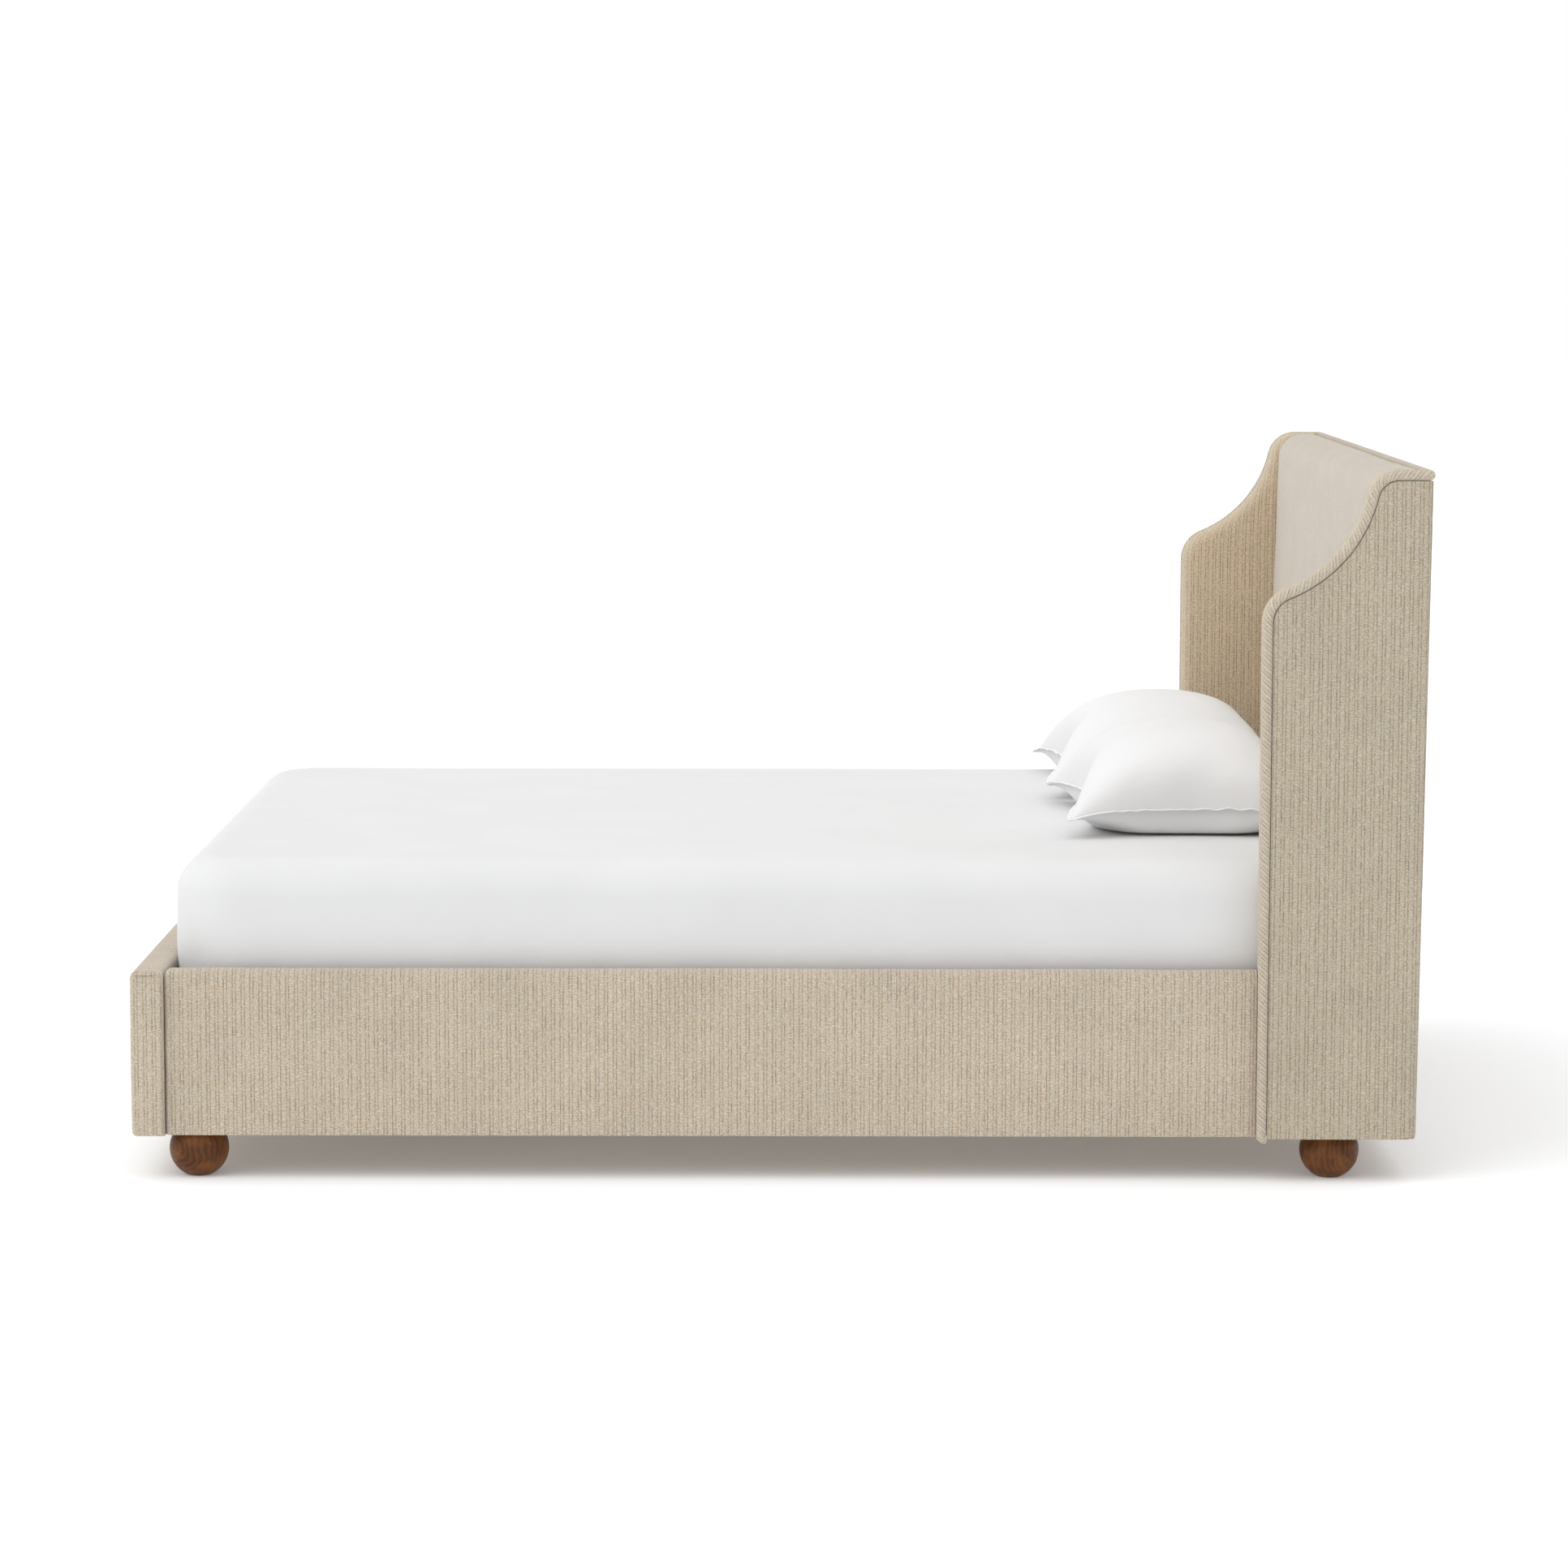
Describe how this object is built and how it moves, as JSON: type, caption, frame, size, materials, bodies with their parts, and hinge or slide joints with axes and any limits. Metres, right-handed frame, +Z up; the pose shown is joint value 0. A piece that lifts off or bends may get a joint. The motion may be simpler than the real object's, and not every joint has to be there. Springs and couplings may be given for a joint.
{
  "type": "upholstered bed",
  "caption": "Upholstered platform bed with a winged headboard of ogee profile edged in thick welt, padded rails, ball feet, slat deck, mattress and pillows.",
  "frame": {"origin": "on the floor, under the middle of the bed", "axes": "+X towards the head of the bed, +Y to the left seen from the foot, +Z up"},
  "size_m": [2.223, 1.676, 1.225],
  "materials": {
    "upholstery": "matte",
    "welt": "matte",
    "cotton": "matte",
    "ticking": "matte",
    "walnut": "satin",
    "pine": "matte",
    "plywood": "matte",
    "hardboard": "matte",
    "steel": "satin",
    "zinc": "satin",
    "nylon": "matte"
  },
  "bodies": {
    "bed": {"ball_foot_foot_left": "walnut", "ball_foot_foot_right": "walnut", "ball_foot_head_left": "walnut", "ball_foot_head_right": "walnut", "beam_hanger_foot": "steel", "beam_hanger_head": "steel", "bracket_bolts": "zinc", "centre_beam": "pine", "centre_leg_foot": "pine", "centre_leg_head": "pine", "centre_leg_middle": "pine", "corner_block_foot_left": "pine", "corner_block_foot_right": "pine", "corner_block_head_left": "pine", "corner_block_head_right": "pine", "foot_bracket_left": "steel", "foot_bracket_right": "steel", "foot_plates": "steel", "foot_studs": "zinc", "footboard_board": "pine", "footboard_cover": "upholstery", "head_bracket_left": "steel", "head_bracket_right": "steel", "headboard_back_cover": "upholstery", "headboard_back_panel": "hardboard", "headboard_bottom_rail": "pine", "headboard_mid_rail": "pine", "headboard_pad": "upholstery", "headboard_panel": "plywood", "headboard_stile_left": "pine", "headboard_stile_right": "pine", "headboard_top_rail": "pine", "ledger_left": "pine", "ledger_right": "pine", "rail_board_left": "pine", "rail_board_right": "pine", "rail_cover_left": "upholstery", "rail_cover_right": "upholstery", "slat_screws": "zinc", "slats": "pine", "welt_left": "welt", "welt_right": "welt", "welt_top": "welt", "wing_cover_left": "upholstery", "wing_cover_right": "upholstery", "wing_frame_left": "plywood", "wing_frame_right": "plywood", "wing_pad_left": "upholstery", "wing_pad_right": "upholstery", "wing_post_left": "pine", "wing_post_right": "pine"},
    "mattress": {"mattress": "ticking", "fitted_sheet": "cotton"},
    "pillow_right": {"pillow_right": "cotton"},
    "pillow_left": {"pillow_left": "cotton"},
    "glide_foot": {"glide_foot": "nylon"},
    "glide_middle": {"glide_middle": "nylon"},
    "glide_head": {"glide_head": "nylon"}
  },
  "joints": [
    {"name": "mattress_lift", "type": "slide", "parent": "bed", "child": "mattress", "axis": [0, 0, 1], "range_m": [0, 1]},
    {"name": "pillow_right_lift", "type": "slide", "parent": "mattress", "child": "pillow_right", "axis": [0, 0, 1], "range_m": [0, 0.75]},
    {"name": "pillow_left_lift", "type": "slide", "parent": "mattress", "child": "pillow_left", "axis": [0, 0, 1], "range_m": [0, 0.75]},
    {"name": "glide_foot_turn", "type": "hinge", "parent": "bed", "child": "glide_foot", "pos_m": [-0.6, 0, 0], "axis": [0, 0, 1], "continuous": true},
    {"name": "glide_middle_turn", "type": "hinge", "parent": "bed", "child": "glide_middle", "pos_m": [0, 0, 0], "axis": [0, 0, 1], "continuous": true},
    {"name": "glide_head_turn", "type": "hinge", "parent": "bed", "child": "glide_head", "pos_m": [0.6, 0, 0], "axis": [0, 0, 1], "continuous": true}
  ]
}
